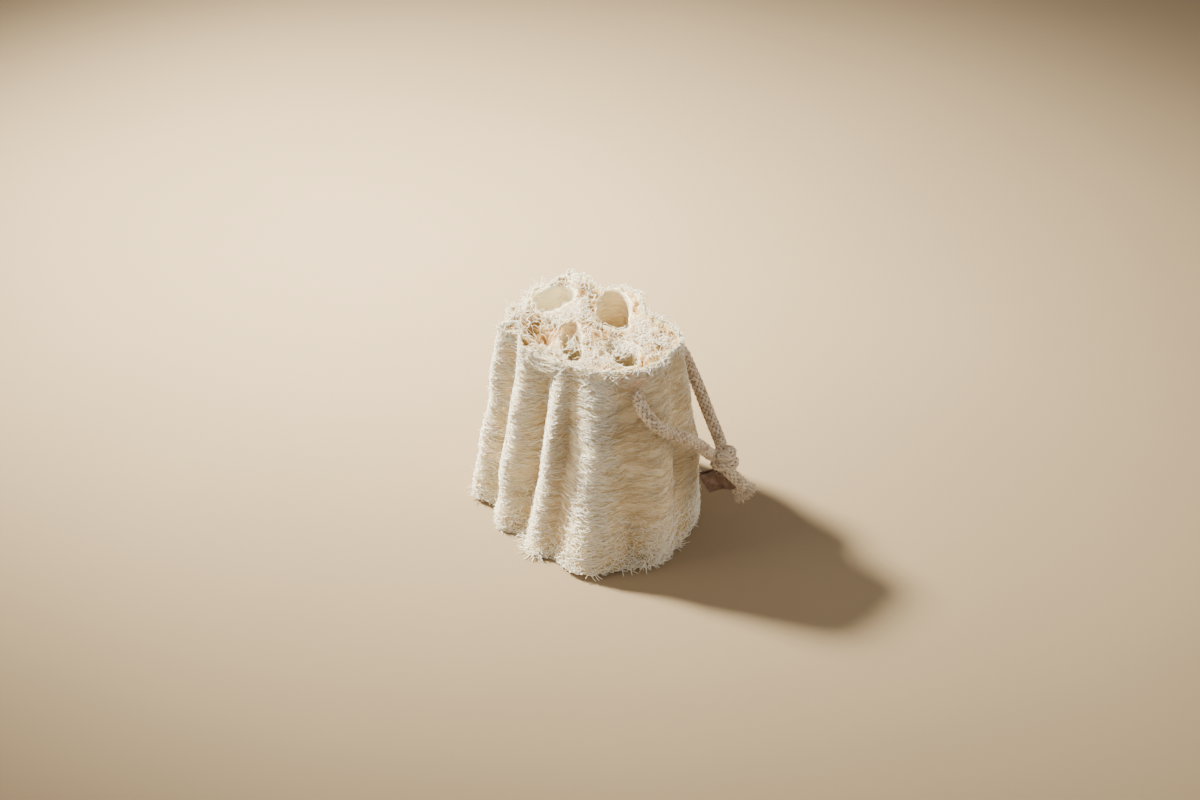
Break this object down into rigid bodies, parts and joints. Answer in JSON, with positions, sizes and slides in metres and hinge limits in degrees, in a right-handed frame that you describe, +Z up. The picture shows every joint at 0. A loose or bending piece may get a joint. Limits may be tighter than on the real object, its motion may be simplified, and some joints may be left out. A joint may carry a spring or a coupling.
{
  "type": "natural loofah sponge with hanging cord",
  "caption": "Fluted natural fibre sponge, cut square at both ends, with seed chambers right through and a knotted cotton cord with a leather tag.",
  "frame": {"origin": "centre of the sponge's wider cut end, on the surface that it stands on", "axes": "+Z up along the gourd's length, from the wider cut end to the narrower one; -Y towards the viewer of the picture, and the cord hangs on the +X side"},
  "size_m": [0.1222, 0.0998, 0.1012],
  "materials": {
    "loofah_fibre": "dry, open net of pale plant fibre",
    "cotton_cord": "braided undyed cotton",
    "tag_leather": "smooth dark brown leather, cut edges"
  },
  "bodies": {
    "root": {"loofah_sponge": "loofah_fibre", "cord_through_sponge": "cotton_cord", "cord_front_strand": "cotton_cord", "cord_back_strand": "cotton_cord", "cord_knot": "cotton_cord", "leather_tag": "tag_leather"}
  },
  "joints": []
}
